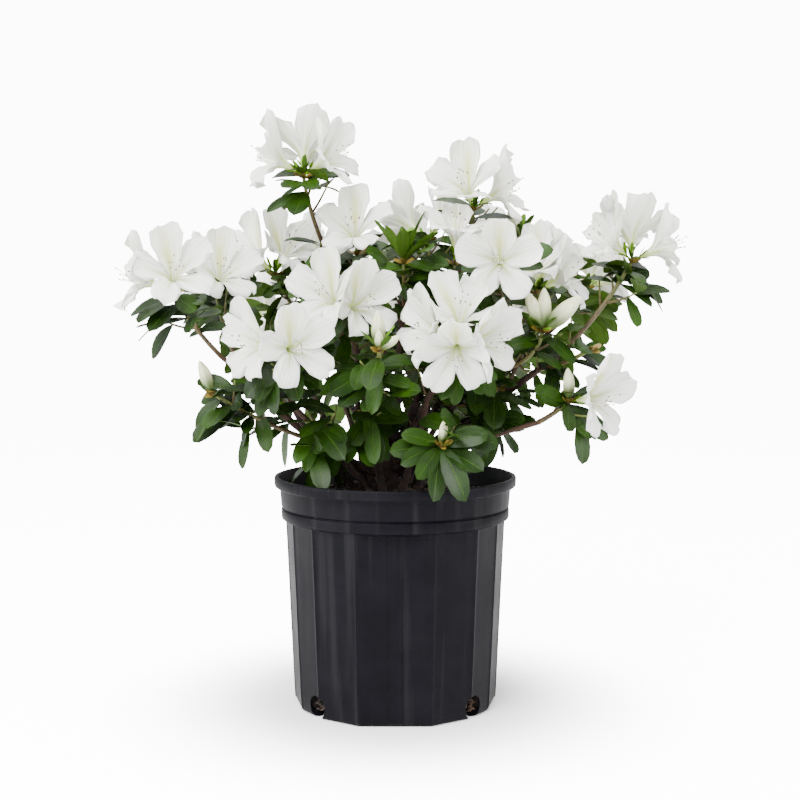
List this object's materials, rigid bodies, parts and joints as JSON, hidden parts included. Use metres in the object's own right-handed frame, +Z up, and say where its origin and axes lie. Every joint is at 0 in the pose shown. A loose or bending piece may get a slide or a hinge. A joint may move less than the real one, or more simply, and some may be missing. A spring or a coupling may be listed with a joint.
{
  "type": "azalea shrub in a nursery pot",
  "caption": "Flowering azalea shrub in a round black nursery pot, with bowed stems, glossy leaves and trusses of white funnel-shaped flowers.",
  "frame": {"origin": "middle of the pot's flat underside, on the ground", "axes": "+Z up along the pot's axis, -Y towards the side the picture shows, +X to that view's right"},
  "size_m": [0.5957, 0.4501, 0.6164],
  "materials": {
    "pot_plastic": "satin moulded charcoal black",
    "bark_mix": "matt dark bark chips",
    "bark": "matt red-brown bark",
    "foliage": "satin dark green leaf",
    "blossom": "soft white petal"
  },
  "bodies": {
    "root": {"pot": "pot_plastic", "potting_mix": "bark_mix", "trunk": "bark", "bough_left": "bark", "bough_left_outer": "bark", "bough_left_front": "bark", "bough_left_back": "bark", "bough_top_left": "bark", "bough_centre_left": "bark", "bough_centre": "bark", "bough_centre_front": "bark", "bough_front_low": "bark", "bough_top_right": "bark", "bough_right_mid": "bark", "bough_right_high": "bark", "bough_right": "bark", "bough_right_low": "bark", "bough_right_back": "bark", "bough_back": "bark", "bough_back_left": "bark", "bough_back_right": "bark", "bough_back_low": "bark", "truss_top_left": "blossom", "truss_left": "blossom", "truss_left_rear": "blossom", "truss_behind_left": "blossom", "truss_front_left": "blossom", "truss_centre_left": "blossom", "truss_upper_centre": "blossom", "leafy_centre": "foliage", "buds_front": "foliage", "truss_top_right": "blossom", "truss_behind_top": "blossom", "truss_upper_right": "blossom", "truss_right_centre": "blossom", "buds_upper_right": "foliage", "truss_right_inner": "blossom", "buds_right": "foliage", "truss_right": "blossom", "truss_right_low": "blossom", "truss_front": "blossom", "buds_front_low": "foliage", "buds_left_low": "foliage", "leafy_left_low": "foliage", "leafy_centre_low": "foliage", "leafy_right_inner": "foliage", "leafy_right_low": "foliage", "truss_back_left": "blossom", "truss_back_left_low": "blossom", "truss_back_upper_left": "blossom", "truss_back_centre": "blossom", "truss_back_low": "blossom", "truss_back_right_low": "blossom", "truss_back_upper_right": "blossom", "truss_back_right": "blossom"}
  },
  "joints": []
}
